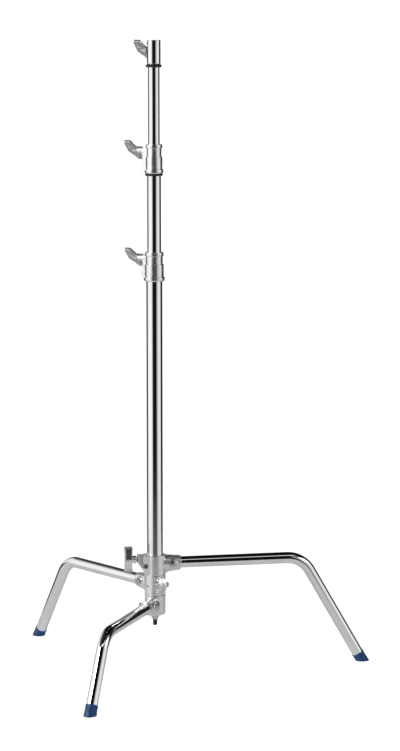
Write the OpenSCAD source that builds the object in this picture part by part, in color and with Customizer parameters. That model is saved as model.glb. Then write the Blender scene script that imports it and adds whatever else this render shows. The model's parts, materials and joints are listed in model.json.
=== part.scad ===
// Three-section studio light stand on three bent legs: the top leg slides on the column,
// the middle leg turns, the lowest leg is fixed. Millimetres, +Z up, origin on the column
// axis at floor level. Choose "all" or one node name to draw.

/* [Column and risers] */
// Outside diameter of the fixed column tube
column_d = 35; // [34:0.5:37]
// Wall of every tube
tube_wall = 1.5; // [1.2:0.1:1.6]
// Height of the lower edge of the collar on the column
collar_z = 866.5; // [700:0.5:1000]
// How far the lower riser is drawn out
lower_draw = 164.5; // [20:0.5:400]
// How far the upper riser is drawn out
upper_draw = 164; // [20:0.5:400]

/* [Legs] */
// Outside diameter of the leg tubes
leg_d = 25; // [22:0.5:25]
// Bend radius of the leg tubes, to their centre line
bend_r = 60; // [45:1:80]
// Lean of the lower run of each leg, from vertical
leg_lean = 30; // [26:1:34]
// Height of the lowest leg's upper run
leg_z = 152.5; // [150:0.5:175]
// Radius at which the lowest leg's two runs meet
leg_reach = 303; // [260:1:360]
// Direction of the top leg
leg_azimuth = 10.8; // [0:0.1:30]

/* [Knobs] */
// Direction in which the three wing knobs point
knob_azimuth = 145; // [130:1:180]
// Turn of the wings away from upright
wing_turn = 50; // [0:1:90]
// Length of the T-handle's bar
t_bar = 57.5; // [44:0.5:58]

/* [Top socket] */
// Bore of the socket at the top
socket_bore = 16.1; // [15.9:0.05:16.3]
// Depth of the socket
socket_depth = 46; // [40:1:50]

/* [Hidden] */
$fn = 64;
eps = 0.01;
gap = 0.3;
fit = 0.05;

// Tubes: each riser is 5 mm smaller than the tube that holds it.
riser_step = 5;
lower_riser_d = column_d - riser_step;
upper_riser_d = lower_riser_d - riser_step;
column_bore = column_d - 2 * tube_wall;
riser_wall = tube_wall - 0.25;
lower_riser_bore = lower_riser_d - 2 * riser_wall;
upper_riser_bore = upper_riser_d - 2 * tube_wall;

// Collars, top to bottom: rim, neck, body, flange.
rim_h = 9;
neck_h = 17;
body_h = 27.5;
flange_h = 9;
collar_h = rim_h + neck_h + body_h + flange_h;
knob_drop = 13;
stop_h = 4.7;
receiver_stop_h = 7;
receiver_h = 50.5;
receiver_d = 29.5;
receiver_knob_drop = 21;
upper_collar_z = collar_z + collar_h + 0.5 + lower_draw + stop_h + gap;
receiver_stop_z = upper_collar_z + collar_h + 0.5 + upper_draw;
receiver_z = receiver_stop_z + receiver_stop_h + 0.5;
top_z = receiver_z + receiver_h;

// Hub: one casting per leg, stacked at an even pitch.
hub_pitch = 45;
hub_r = 23.2;
below_leg = 25;
above_leg = hub_pitch - below_leg - gap;
hub_floor = 10;
column_foot = leg_z - below_leg + hub_floor + 0.1;
reach_steps = [0, 9, 29];
leg_turns = [240, 120, 0];
leg_root = 27;
socket_mouth = 57;
bolt_at = 37;
bolt_d = 8;
bolt_hole = bolt_d + 0.2;
hex_8 = 13 / cos(30);
stud_d = 10;
stud_hang = 24;
stud_h = 57;

// Risers: a plastic guide wraps the lower end of each and closes it.
guide_h = 40;
guide_cap = 12;
plug_h = 24;
riser_rest = column_foot + plug_h + guide_cap + 10;
lower_riser_foot = riser_rest + lower_draw;
upper_riser_foot = lower_riser_foot + guide_cap + 3 + upper_draw;

// Split clamp and click stop of the turning leg.
ear_w = 10.5;
slit = 1.6;
ear_face = ear_w + slit / 2;
clamp_bolt_x = 24.5;
clamp_bolt_d = 6;
hex_6 = 10 / cos(30);
detent_azimuth = 226.5;
detent_d = 5;

// Boss of the sliding leg's casting, wider at its root, and the cap screw in its side.
boss_w = 24;
boss_flare = 39.2;
liner_screw_x = 23;
liner_screw_d = 6;
cap_head_d = 10;

// Liner between the sliding casting and the column.
liner_r = column_d / 2 + 1.5;
lip_h = 2;

// Foot pads.
pad_d = leg_d + 2.5;
pad_rim = 19;
tube_end = 12;
bend_swell = 0.1;
lap = 0.3;

// Knobs and clamp screws.
screw_d = 8;
shoe_t = 3.5;
wing_a = 44.5;
receiver_wing_a = 18.5;
wing_half = 31;
wing_t = 6;
boss_end = 42;
t_screw_d = 12;
t_z = leg_z + 2 * hub_pitch + 9.5;
t_boss_end = 38.5;
t_bar_a = 50;
t_bar_w = 18;
t_bar_t = 15;
lower_knob_z = collar_z + collar_h - knob_drop;
upper_knob_z = upper_collar_z + collar_h - knob_drop;
top_knob_z = top_z - receiver_knob_drop;

// ---- helpers -------------------------------------------------------------

function leg_height(i) = leg_z + i * hub_pitch;
function leg_corner(i) = leg_reach + reach_steps[i];
function leg_angle(i) = leg_azimuth + leg_turns[i];

// Points its child's Z axis outwards along +X.
module outward(a, z) {
    translate([a, 0, z])
        rotate([0, 90, 0])
            children();
}

module ring(outer_d, inner_d, z, h) {
    translate([0, 0, z])
        difference() {
            cylinder(d = outer_d, h = h);
            translate([0, 0, -eps])
                cylinder(d = inner_d, h = h + 2 * eps);
        }
}

// A cylinder across the leg, along Y, centred on the leg's vertical plane.
module crosswise(d, length, x, z) {
    translate([x, 0, z])
        rotate([90, 0, 0])
            cylinder(d = d, h = length, center = true);
}

// Ring-shaped section of a leg tube; the bend is a hair thicker than the straight runs.
module leg_section(swell) {
    difference() {
        circle(d = leg_d + swell);
        circle(d = leg_d - 2 * tube_wall - swell);
    }
}

// Straight upper run, bend and straight lower run of one leg.
module leg_tube(i) {
    z = leg_height(i);
    turn = 90 - leg_lean;
    bend_x = leg_corner(i) - bend_r * tan(turn / 2);
    drop_x = bend_x + bend_r * cos(leg_lean);
    drop_z = z - bend_r + bend_r * sin(leg_lean);
    rotate([0, 0, leg_angle(i)])
        difference() {
            union() {
                outward(leg_root, z)
                    linear_extrude(height = bend_x - leg_root + lap)
                        leg_section(0);
                translate([bend_x, 0, z - bend_r])
                    rotate([90, 0, 0])
                        rotate([0, 0, leg_lean])
                            rotate_extrude(angle = turn)
                                translate([bend_r, 0])
                                    leg_section(bend_swell);
                translate([drop_x, 0, drop_z])
                    rotate([0, 180 - leg_lean, 0])
                        translate([0, 0, -lap])
                            linear_extrude(height = (drop_z - tube_end) / cos(leg_lean) + lap)
                                leg_section(0);
            }
            crosswise(bolt_hole, leg_d + 2, bolt_at, z);
        }
}

// A sleeve round the end of the tube, cut level with the floor.
module foot_pad(i) {
    x = leg_corner(i) + leg_height(i) * tan(leg_lean);
    rotate([0, 0, leg_angle(i)])
        difference() {
            translate([x - pad_rim * tan(leg_lean), 0, pad_rim])
                rotate([0, 180 - leg_lean, 0])
                    cylinder(d = pad_d, h = pad_rim / cos(leg_lean) + pad_d / 2);
            translate([x - (pad_rim + 5) * tan(leg_lean), 0, pad_rim + 5])
                rotate([0, 180 - leg_lean, 0])
                    cylinder(d = leg_d + 2 * fit, h = (pad_rim + 5 - tube_end + 0.1) / cos(leg_lean));
            translate([x - 50, -50, -50])
                cube([100, 100, 50]);
        }
}

// Outside of the hub ring of one casting, about the column axis.
module hub_body(z0, z1, foot_round) {
    rotate_extrude()
        polygon([
            [0, z0],
            [hub_r - foot_round, z0],
            [hub_r - foot_round * 0.3, z0 + foot_round * 0.3],
            [hub_r, z0 + foot_round],
            [hub_r, z1 - 0.8],
            [hub_r - 0.8, z1],
            [0, z1]
        ]);
}

// Tapered sleeve, web and bolt faces that hold one leg.
module socket_body(z) {
    outward(hub_r - 6, z)
        cylinder(r1 = leg_d / 2 + 5, r2 = leg_d / 2 + 2.1, h = socket_mouth - hub_r + 6);
    rotate([90, 0, 0])
        linear_extrude(height = 13, center = true)
            polygon([
                [0, z - below_leg],
                [hub_r - 2, z - below_leg],
                [hub_r + 1.8, z - below_leg + 3.5],
                [hub_r + 5, z - below_leg + 5.5],
                [socket_mouth - 1, z - 15.8],
                [socket_mouth - 1, z],
                [0, z]
            ]);
    crosswise(18, leg_d + 8, bolt_at, z);
}

module socket_cuts(z) {
    outward(leg_root - 0.5, z)
        cylinder(d = leg_d + 2 * fit, h = socket_mouth);
    crosswise(bolt_hole, 60, bolt_at, z);
}

// Hex-headed bolt through a socket; side is the side its head is on.
module leg_bolt(i, side) {
    rotate([0, 0, leg_angle(i)])
        translate([bolt_at, 0, leg_height(i)])
            rotate([side * 90, 0, 0])
                union() {
                    translate([0, 0, -24])
                        cylinder(d = bolt_d, h = 24 + leg_d / 2 + 4 + fit);
                    translate([0, 0, leg_d / 2 + 4 + fit])
                        cylinder(d = hex_8, h = 5.3, $fn = 6);
                }
}

module leg_nut(i, side) {
    rotate([0, 0, leg_angle(i)])
        translate([bolt_at, 0, leg_height(i)])
            rotate([side * 90, 0, 0])
                translate([0, 0, -leg_d / 2 - 4 - fit - 5.5])
                    difference() {
                        cylinder(d = hex_8, h = 5.5, $fn = 6);
                        translate([0, 0, -1])
                            cylinder(d = bolt_d + 2 * fit, h = 8);
                    }
}

// Stepped collar fixed on one tube and guiding the riser that leaves it.
module collar(z, tube_d, riser_d) {
    neck_z = z + flange_h + body_h;
    top = z + collar_h;
    difference() {
        union() {
            rotate_extrude()
                polygon([
                    [0, z],
                    [tube_d / 2 + 3.8, z],
                    [tube_d / 2 + 5.2, z + 2],
                    [tube_d / 2 + 5.2, z + flange_h - 1],
                    [tube_d / 2 + 4.2, z + flange_h],
                    [tube_d / 2 + 3.1, z + flange_h],
                    [tube_d / 2 + 3.1, neck_z - 0.8],
                    [tube_d / 2 + 2.3, neck_z],
                    [riser_d / 2 + 3.6, neck_z],
                    [riser_d / 2 + 3.6, neck_z + neck_h],
                    [riser_d / 2 + 4.7, neck_z + neck_h],
                    [riser_d / 2 + 5.4, neck_z + neck_h + 0.8],
                    [riser_d / 2 + 5.4, top - 0.8],
                    [riser_d / 2 + 4.6, top],
                    [0, top]
                ]);
            rotate([0, 0, knob_azimuth]) {
                rotate([90, 0, 0])
                    linear_extrude(height = 14, center = true)
                        polygon([
                            [0, top - 4],
                            [20, top - 4],
                            [25, top - 7],
                            [26, top - 16],
                            [26.5, top - 36],
                            [30.5, top - 40],
                            [31.7, top - 45],
                            [30.5, top - 51],
                            [26, top - 58],
                            [22, top - 60],
                            [0, top - 60]
                        ]);
                outward(0, top - knob_drop)
                    cylinder(d = 15, h = boss_end);
            }
        }
        translate([0, 0, z - 1])
            cylinder(d = tube_d + 2 * fit, h = flange_h + body_h - 1);
        translate([0, 0, z])
            cylinder(d = riser_d + 2 * fit, h = collar_h + 1);
        rotate([0, 0, knob_azimuth])
            outward(0, top - knob_drop)
                cylinder(d = screw_d + 2 * fit, h = 60);
    }
}

// Brass pad between a clamp screw and the tube it holds, hollowed to the tube.
module clamp_shoe(z, tube_d) {
    rotate([0, 0, knob_azimuth])
        difference() {
            outward(tube_d / 2 - 1, z)
                cylinder(d = screw_d, h = shoe_t + 1);
            translate([0, 0, z - 10])
                cylinder(d = tube_d + 0.2, h = 20);
        }
}

module clamp_screw(z, start, wing) {
    rotate([0, 0, knob_azimuth])
        outward(start, z)
            cylinder(d = screw_d, h = wing + 10 - start);
}

// Outer edge of the wings, t from -1 at one tip to 1 at the other; one wing is cut back.
function wing_edge(t) = 23 - 5.5 * t * t - (t < -0.3 ? min(5, (-0.3 - t) * 33) : 0);

// Outline of the wings in the plane of the screw: x along the screw, y along the wings.
module wing_outline() {
    polygon(concat(
        [for (t = [-1 : 0.125 : 1]) [wing_edge(t), wing_half * t * (1 - 0.04 * t * t)]],
        [
            [14, wing_half],
            [3, wing_half],
            [0.5, wing_half - 2.5],
            [0, 18],
            [-1, 8],
            [-1, -8],
            [0, -18],
            [0.5, 2.5 - wing_half],
            [3, -wing_half],
            [10, -wing_half]
        ]
    ));
}

// Two-winged knob; wing is where the inner edge of the wings stands.
module wing_knob(z, wing, root) {
    rotate([0, 0, knob_azimuth])
        translate([wing, 0, z])
            rotate([-wing_turn, 0, 0])
                difference() {
                    union() {
                        rotate([90, 0, 0])
                            linear_extrude(height = wing_t, center = true)
                                wing_outline();
                        translate([-root, 0, 0])
                            rotate([0, 90, 0])
                                cylinder(d = 15, h = root + 8);
                        translate([8, 0, 0])
                            rotate([0, 90, 0])
                                cylinder(d1 = 15, d2 = 9, h = 15);
                    }
                    translate([-root - 1, 0, 0])
                        rotate([0, 90, 0])
                            cylinder(d = screw_d, h = root + 11);
                }
}

// ---- column, fixed to the lowest leg --------------------------------------

module column_tube() {
    color("gainsboro")
        ring(column_d, column_bore, column_foot,
            collar_z + flange_h + body_h - 2.1 - column_foot);
}

module column_plug() {
    color("dimgray")
        ring(column_bore - 2 * fit, stud_d + 2 * fit, column_foot, plug_h);
}

module lower_collar() {
    color("silver")
        collar(collar_z, column_d, lower_riser_d);
}

module base_casting() {
    z0 = leg_z - below_leg;
    color("silver")
        difference() {
            union() {
                hub_body(z0, leg_z + above_leg, 6);
                rotate([0, 0, leg_angle(0)])
                    socket_body(leg_z);
            }
            translate([0, 0, z0 + hub_floor])
                cylinder(d = column_d + 2 * fit, h = 60);
            translate([0, 0, z0 - 1])
                cylinder(d = stud_d + 0.4, h = 20);
            rotate([0, 0, leg_angle(0)])
                socket_cuts(leg_z);
        }
}

module front_leg() {
    color("gainsboro")
        leg_tube(0);
}

module front_bolt() {
    color("gray")
        leg_bolt(0, -1);
}

module front_nut() {
    color("gray")
        leg_nut(0, -1);
}

module front_foot() {
    color("navy")
        foot_pad(0);
}

module centre_stud() {
    color("dimgray")
        translate([0, 0, leg_z - below_leg - stud_hang])
            cylinder(d = stud_d, h = stud_h);
}

module base_washer() {
    color("gray")
        ring(20, stud_d + 2 * fit, leg_z - below_leg - 1.6, 1.5);
}

module cone_nut() {
    top = leg_z - below_leg - 1.7;
    color("gray")
        rotate_extrude()
            polygon([
                [stud_d / 2 + fit, top],
                [9.7, top],
                [9.7, top - 1.5],
                [5.9, top - 9.5],
                [stud_d / 2 + fit, top - 9.5]
            ]);
}

// ---- risers ---------------------------------------------------------------

module lower_riser() {
    color("gainsboro")
        ring(lower_riser_d, lower_riser_bore, lower_riser_foot,
            upper_collar_z + flange_h + body_h - 2 - lower_riser_foot);
}

// Plastic guide: a sleeve over the tube's foot with a cap below it.
module tube_guide(bore, tube_d, foot) {
    difference() {
        translate([0, 0, foot - guide_cap])
            cylinder(d = bore - 2 * fit, h = guide_h + guide_cap);
        translate([0, 0, foot - fit])
            cylinder(d = tube_d + 2 * fit, h = guide_h + 1);
        translate([0, 0, foot - guide_cap - 1])
            cylinder(d = tube_d - 12, h = guide_cap + 2);
    }
}

module lower_guide() {
    color("dimgray")
        tube_guide(column_bore, lower_riser_d, lower_riser_foot);
}

module upper_collar() {
    color("silver")
        collar(upper_collar_z, lower_riser_d, upper_riser_d);
}

module collar_stop() {
    z = upper_collar_z - gap - stop_h;
    r = lower_riser_d / 2 + fit;
    color("black")
        rotate_extrude()
            polygon([
                [r, z],
                [r + 3.4, z],
                [r + 4.4, z + 1.4],
                [r + 4.4, z + stop_h - 1.4],
                [r + 3.4, z + stop_h],
                [r, z + stop_h]
            ]);
}

module upper_riser() {
    color("gainsboro")
        ring(upper_riser_d, upper_riser_bore, upper_riser_foot,
            receiver_z - 0.1 - upper_riser_foot);
}

module upper_guide() {
    color("dimgray")
        tube_guide(lower_riser_bore, upper_riser_d, upper_riser_foot);
}

// Top socket with a plug that goes down into the upper riser.
module receiver() {
    color("gainsboro")
        difference() {
            rotate_extrude()
                polygon([
                    [0, receiver_z - 26],
                    [upper_riser_bore / 2 - 1, receiver_z - 26],
                    [upper_riser_bore / 2 - fit, receiver_z - 25],
                    [upper_riser_bore / 2 - fit, receiver_z],
                    [receiver_d / 2 - 0.6, receiver_z],
                    [receiver_d / 2, receiver_z + 0.6],
                    [receiver_d / 2, top_z - 0.8],
                    [receiver_d / 2 - 0.8, top_z],
                    [0, top_z]
                ]);
            translate([0, 0, top_z - socket_depth])
                cylinder(d = socket_bore, h = socket_depth + 1);
            rotate([0, 0, knob_azimuth])
                outward(0, top_z - receiver_knob_drop)
                    cylinder(d = screw_d + 2 * fit, h = 30);
        }
}

module receiver_stop() {
    r = upper_riser_d / 2 + fit;
    z = receiver_stop_z;
    color("black")
        rotate_extrude()
            polygon([
                [r, z],
                [r + 3.2, z],
                [r + 4.6, z + 1.2],
                [r + 4.9, z + 2.4],
                [r + 4.4, z + 3.8],
                [r + 2.2, z + receiver_stop_h],
                [r, z + receiver_stop_h]
            ]);
}

// ---- riser clamps ---------------------------------------------------------

module lower_shoe() {
    color("goldenrod")
        clamp_shoe(lower_knob_z, lower_riser_d);
}

module lower_screw() {
    color("gray")
        clamp_screw(lower_knob_z, lower_riser_d / 2 + shoe_t + 0.1, wing_a);
}

module lower_knob() {
    color("darkgray")
        wing_knob(lower_knob_z, wing_a, 2);
}

module upper_shoe() {
    color("goldenrod")
        clamp_shoe(upper_knob_z, upper_riser_d);
}

module upper_screw() {
    color("gray")
        clamp_screw(upper_knob_z, upper_riser_d / 2 + shoe_t + 0.1, wing_a);
}

module upper_knob() {
    color("darkgray")
        wing_knob(upper_knob_z, wing_a, 2);
}

module top_tip() {
    color("goldenrod")
        rotate([0, 0, knob_azimuth])
            difference() {
                outward(socket_bore / 2 - 1, top_knob_z)
                    cylinder(d = screw_d, h = 3.5);
                translate([0, 0, top_knob_z - 10])
                    cylinder(d = socket_bore + 0.4, h = 20);
            }
}

module top_screw() {
    color("gray")
        clamp_screw(top_knob_z, socket_bore / 2 + 2.6, receiver_wing_a);
}

module top_knob() {
    color("darkgray")
        wing_knob(top_knob_z, receiver_wing_a, 2);
}

// ---- turning leg ----------------------------------------------------------

module turning_casting() {
    z = leg_height(1);
    mid = z - 2;
    color("silver")
        difference() {
            union() {
                hub_body(z - below_leg, z + above_leg, 1);
                rotate([0, 0, leg_angle(1)])
                    socket_body(z);
                rotate([0, 0, leg_angle(1) + 180])
                    rotate([90, 0, 0])
                        linear_extrude(height = 2 * ear_face, center = true)
                            polygon([
                                [0, mid - 20],
                                [19, mid - 20],
                                [24, mid - 14],
                                [27.5, mid - 6],
                                [28.5, mid],
                                [27.5, mid + 6],
                                [24, mid + 14],
                                [19, mid + 19],
                                [0, mid + 19]
                            ]);
            }
            translate([0, 0, z - 40])
                cylinder(d = column_d + 0.14, h = 80);
            rotate([0, 0, leg_angle(1)]) {
                socket_cuts(z);
                translate([-50, -slit / 2, z - 40])
                    cube([50, slit, 80]);
                crosswise(clamp_bolt_d + 0.2, 60, -clamp_bolt_x, mid);
                for (s = [1, -1])
                    translate([0, s * (ear_face + 5), 0])
                        crosswise(hex_6 + 1, 10, -clamp_bolt_x, mid);
            }
            rotate([0, 0, detent_azimuth])
                outward(10, z - 4)
                    cylinder(d = detent_d + 0.1, h = 20);
        }
}

module left_leg() {
    color("gainsboro")
        leg_tube(1);
}

module left_bolt() {
    color("gray")
        leg_bolt(1, 1);
}

module left_nut() {
    color("gray")
        leg_nut(1, 1);
}

module left_foot() {
    color("navy")
        foot_pad(1);
}

// Cap screw that draws the two ears together and sets how stiffly the leg turns.
module clamp_bolt() {
    color("gray")
        rotate([0, 0, leg_angle(1) + 180])
            translate([clamp_bolt_x, 0, leg_height(1) - 2])
                rotate([90, 0, 0])
                    difference() {
                        union() {
                            translate([0, 0, -ear_face - 7])
                                cylinder(d = clamp_bolt_d, h = 2 * ear_face + 7 + fit);
                            translate([0, 0, ear_face + fit])
                                cylinder(d = cap_head_d, h = 4);
                        }
                        translate([0, 0, ear_face + 1.5])
                            cylinder(d = 5 / cos(30), h = 5, $fn = 6);
                    }
}

module clamp_nut() {
    color("gray")
        rotate([0, 0, leg_angle(1) + 180])
            translate([clamp_bolt_x, 0, leg_height(1) - 2])
                rotate([90, 0, 0])
                    translate([0, 0, -ear_face - fit - 5])
                        difference() {
                            cylinder(d = hex_6, h = 5, $fn = 6);
                            translate([0, 0, -1])
                                cylinder(d = clamp_bolt_d + 2 * fit, h = 7);
                        }
}

// Grub screw behind the spring that lets the leg click into its places.
module detent_screw() {
    color("dimgray")
        rotate([0, 0, detent_azimuth])
            difference() {
                outward(column_d / 2 + 0.6, leg_height(1) - 4)
                    cylinder(d = detent_d, h = 4.6);
                outward(column_d / 2 + 3, leg_height(1) - 4)
                    cylinder(d = detent_d / 2 / cos(30), h = 4, $fn = 6);
            }
}

// ---- sliding leg ----------------------------------------------------------

module liner() {
    z = leg_height(2);
    color("ivory")
        difference() {
            ring(2 * liner_r, column_d + 2 * fit, z - below_leg + lip_h + 0.2,
                below_leg + above_leg - 2 * lip_h - 0.4);
            rotate([0, 0, leg_angle(2)])
                translate([0, -1.5, z - 40])
                    cube([40, 3, 80]);
        }
}

module sliding_casting() {
    z = leg_height(2);
    z0 = z - below_leg;
    z1 = z + above_leg;
    color("silver")
        difference() {
            union() {
                hub_body(z0, z1, 1.5);
                rotate([0, 0, leg_angle(2)])
                    socket_body(z);
                rotate([0, 0, leg_angle(2) + 180])
                    intersection() {
                        rotate([90, 0, 0])
                            linear_extrude(height = 2 * hub_r, center = true)
                                polygon([
                                    [0, z0 + 2],
                                    [hub_r - 1, z0 + 2],
                                    [t_boss_end - 1, t_z - 9.5],
                                    [t_boss_end, t_z - 8],
                                    [t_boss_end, z1 - 1.5],
                                    [t_boss_end - 1.5, z1],
                                    [0, z1]
                                ]);
                        linear_extrude(height = z1 + 1)
                            polygon([
                                [0, -boss_flare / 2],
                                [11, -boss_flare / 2],
                                [t_boss_end - 10, -boss_w / 2],
                                [t_boss_end + 1, -boss_w / 2],
                                [t_boss_end + 1, boss_w / 2],
                                [t_boss_end - 10, boss_w / 2],
                                [11, boss_flare / 2],
                                [0, boss_flare / 2]
                            ]);
                    }
            }
            translate([0, 0, z0 - 1])
                cylinder(d = column_d + 1, h = 60);
            translate([0, 0, z0 + lip_h])
                cylinder(r = liner_r + fit, h = below_leg + above_leg - 2 * lip_h);
            rotate([0, 0, leg_angle(2)])
                socket_cuts(z);
            rotate([0, 0, leg_angle(2) + 180]) {
                outward(10, t_z)
                    cylinder(d = t_screw_d + 2 * fit, h = 60);
                translate([liner_screw_x, boss_w / 2, z - 4]) {
                    rotate([90, 0, 0])
                        cylinder(d = liner_screw_d + 2 * fit, h = 8);
                    rotate([-90, 0, 0])
                        cylinder(d = cap_head_d + 1, h = 10);
                }
            }
        }
}

module right_leg() {
    color("gainsboro")
        leg_tube(2);
}

module right_bolt() {
    color("gray")
        leg_bolt(2, 1);
}

module right_nut() {
    color("gray")
        leg_nut(2, 1);
}

module right_foot() {
    color("navy")
        foot_pad(2);
}

// Cap screw that keeps the liner from turning in the casting's mouth.
module liner_screw() {
    color("dimgray")
        rotate([0, 0, leg_angle(2) + 180])
            translate([liner_screw_x, boss_w / 2, leg_height(2) - 4])
                rotate([-90, 0, 0])
                    difference() {
                        union() {
                            translate([0, 0, -7])
                                cylinder(d = liner_screw_d, h = 8);
                            translate([0, 0, fit])
                                cylinder(d = cap_head_d, h = 3.5);
                        }
                        translate([0, 0, 1.2])
                            cylinder(d = 5 / cos(30), h = 4, $fn = 6);
                    }
}

module brake_shoe() {
    color("goldenrod")
        rotate([0, 0, leg_angle(2) + 180])
            difference() {
                outward(liner_r - 1, t_z)
                    cylinder(d = t_screw_d, h = 5);
                translate([0, 0, t_z - 10])
                    cylinder(r = liner_r + 0.1, h = 20);
            }
}

module t_screw() {
    color("dimgray")
        rotate([0, 0, leg_angle(2) + 180])
            outward(liner_r + 4.1, t_z)
                cylinder(d = t_screw_d, h = t_bar_a + 8 - liner_r - 4.1);
}

// Side view of the T-handle's bar: x outwards, y along the bar, slightly waisted.
module t_outline() {
    h = t_bar / 2;
    polygon([
        [0.4, -h + 1.5], [1.4, -h], [t_bar_w - 1.5, -h], [t_bar_w, -h + 1.5],
        [t_bar_w - 0.9, 0],
        [t_bar_w, h - 1.5], [t_bar_w - 1.5, h], [1.4, h], [0.4, h - 1.5],
        [1.6, 0]
    ]);
}

// Pockets for the grips: upper arm on one face, lower arm on the other.
module t_pockets(depth) {
    for (s = [1, -1])
        translate([t_bar_a + t_bar_w / 2, s * (t_bar_t / 2 - depth / 2), t_z + s * 13.5])
            cube([12.4, depth, 24], center = true);
}

module t_handle() {
    color("silver")
        rotate([0, 0, leg_angle(2) + 180])
            difference() {
                union() {
                    translate([t_bar_a, 0, t_z])
                        rotate([90, 0, 0])
                            linear_extrude(height = t_bar_t, center = true)
                                t_outline();
                    outward(t_boss_end + 3, t_z)
                        cylinder(d = 17, h = t_bar_a - t_boss_end);
                }
                outward(t_boss_end, t_z)
                    cylinder(d = t_screw_d, h = t_bar_a + 8 - t_boss_end);
                t_pockets(1.2);
            }
}

module t_grips() {
    color("black")
        rotate([0, 0, leg_angle(2) + 180])
            t_pockets(1.15);
}

column_tube();
column_plug();
lower_collar();
base_casting();
front_leg();
front_bolt();
front_nut();
front_foot();
centre_stud();
base_washer();
cone_nut();
lower_riser();
lower_guide();
upper_collar();
collar_stop();
upper_riser();
upper_guide();
receiver();
receiver_stop();
lower_shoe();
lower_screw();
lower_knob();
upper_shoe();
upper_screw();
upper_knob();
top_tip();
top_screw();
top_knob();
turning_casting();
left_leg();
left_bolt();
left_nut();
left_foot();
clamp_bolt();
clamp_nut();
detent_screw();
liner();
sliding_casting();
right_leg();
right_bolt();
right_nut();
right_foot();
liner_screw();
brake_shoe();
t_screw();
t_handle();
t_grips();
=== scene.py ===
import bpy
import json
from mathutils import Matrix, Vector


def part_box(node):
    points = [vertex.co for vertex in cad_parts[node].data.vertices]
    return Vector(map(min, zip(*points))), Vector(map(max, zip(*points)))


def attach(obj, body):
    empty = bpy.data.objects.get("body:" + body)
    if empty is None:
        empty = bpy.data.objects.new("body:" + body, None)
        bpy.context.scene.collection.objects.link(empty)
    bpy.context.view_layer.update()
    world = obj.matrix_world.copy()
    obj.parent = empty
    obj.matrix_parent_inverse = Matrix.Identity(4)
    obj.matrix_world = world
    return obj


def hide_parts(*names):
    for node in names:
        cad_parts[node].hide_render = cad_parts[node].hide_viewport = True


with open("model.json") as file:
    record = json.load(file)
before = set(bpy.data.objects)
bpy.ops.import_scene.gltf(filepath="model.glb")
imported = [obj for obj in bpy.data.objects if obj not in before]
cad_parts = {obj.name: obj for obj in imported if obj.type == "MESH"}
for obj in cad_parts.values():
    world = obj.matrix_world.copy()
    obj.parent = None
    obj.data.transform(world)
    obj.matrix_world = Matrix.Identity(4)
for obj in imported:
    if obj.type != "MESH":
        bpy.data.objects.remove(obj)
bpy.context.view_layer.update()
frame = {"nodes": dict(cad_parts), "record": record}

import json
import math

import bmesh
import bpy
from mathutils import Matrix, Vector

# Studio light stand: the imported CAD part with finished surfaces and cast, threaded and
# moulded detail. Shapes are worked out in millimetres and written in metres.

MM = 0.001
TAU = 2 * math.pi

# Sizes shared with the part, in millimetres.
COLUMN_D, LOWER_RISER_D, UPPER_RISER_D = 35.0, 30.0, 25.0
WALL, LOWER_RISER_WALL = 1.5, 1.25
LEG_D = 25.0
LEG_END_Z = 12.0  # where a leg's tube ends inside its pad
BEND_R = 60.0  # centre line of a leg's bend
LEAN = math.radians(30)  # a leg's lower run, from the vertical
HUB_R = 23.2
BELOW_LEG = 25.0  # from a casting's underside up to its leg's centre line
LEG_ROOT, SOCKET_MOUTH = 27.0, 57.0  # radii where a leg starts and where its socket ends
BOLT_AT = 37.0  # radius of the bolt across a leg
BOSS_FACE = LEG_D / 2 + 4  # from a leg's middle to the faces that its bolt and nut sit on
BOLT_HOLE_R, BOLT_FLATS = 4.1, 13
SCREW_R = 4.0  # screws of the wing knobs
KNOB_AZ = math.radians(145)  # direction in which the wing knobs stand out
WING_TURN = math.radians(50)  # turn of the wings about their screw at rest
KNOB_DROP, TOP_KNOB_DROP = 13.0, 21  # from the top of a collar or the receiver to its screw
LINER_R = 19.0
FIT = 0.05  # gap left between pieces that touch

# Turns that point a shell's own Z axis another way.
Z_TO_X = Matrix.Rotation(math.pi / 2, 4, "Y")
Z_TO_MINUS_Y = Matrix.Rotation(math.pi / 2, 4, "X")
Z_TO_Y = Matrix.Rotation(-math.pi / 2, 4, "X")
UPSIDE_DOWN = Matrix.Rotation(math.pi, 4, "X")
HALF_TURN = Matrix.Rotation(math.pi, 4, "Z")


# ---- places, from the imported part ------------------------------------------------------

def low(node):
    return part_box(node)[0].z / MM


def high(node):
    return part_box(node)[1].z / MM


MOUNTS = {m["name"]: Vector(m["pos_m"]) / MM for m in frame["record"]["mounts"]}


def turned(azimuth):
    return Matrix.Rotation(azimuth, 4, "Z")


def shift(x, y, z):
    return Matrix.Translation((x, y, z))


def outward(azimuth, radius, z):
    """Local Z points away from the column axis, local X points down."""
    return turned(azimuth) @ shift(radius, 0, z) @ Z_TO_X


# ---- shells ----------------------------------------------------------------------------
# A shell is (points, faces, uv per face corner) in millimetres.

def skin(rings, seg, u_size, closed=True, v_marks=None):
    """Shell over a row of rings. A ring is seg points, or one point on the axis."""
    points, faces, uvs, index = [], [], [], []
    for ring in rings:
        index.append([len(points) + (k if len(ring) > 1 else 0) for k in range(seg)])
        points += ring
    count = len(rings)
    for i in range(count if closed else count - 1):
        j = (i + 1) % count
        a, b = index[i], index[j]
        va = v_marks[i] if v_marks else i * 1.0
        vb = v_marks[j] if v_marks and j else va + 1.0
        for k in range(seg):
            n = (k + 1) % seg
            u0, u1 = u_size * k / seg, u_size * (k + 1) / seg
            corners = [(a[k], u0, va), (a[n], u1, va), (b[n], u1, vb), (b[k], u0, vb)]
            kept = []
            for c in corners:
                if c[0] not in [q[0] for q in kept]:
                    kept.append(c)
            if len(kept) > 2:
                faces.append([c[0] for c in kept])
                uvs.append([(c[1] * MM, c[2] * MM) for c in kept])
    return points, faces, uvs


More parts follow.
